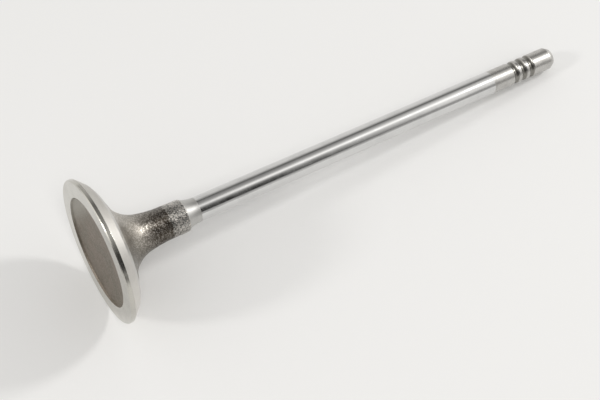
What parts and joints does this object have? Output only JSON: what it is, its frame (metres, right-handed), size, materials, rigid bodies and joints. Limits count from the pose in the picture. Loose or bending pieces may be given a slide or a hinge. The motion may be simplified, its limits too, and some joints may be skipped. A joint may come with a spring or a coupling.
{
  "type": "engine valve",
  "caption": "Poppet valve with a recessed tulip head, angled seat, slim plated stem and round keeper grooves by the tip.",
  "frame": {"origin": "centre of the combustion face, which is what the valve stands on", "axes": "+Z along the stem from the face to the tip; X and Y are free, because the part is turned"},
  "size_m": [0.0292, 0.0292, 0.1094],
  "materials": {
    "valve_steel": "ground and plated stem, machined seat and face land, dark shot-blasted forging"
  },
  "bodies": {
    "root": {"valve": "valve_steel"}
  },
  "joints": []
}
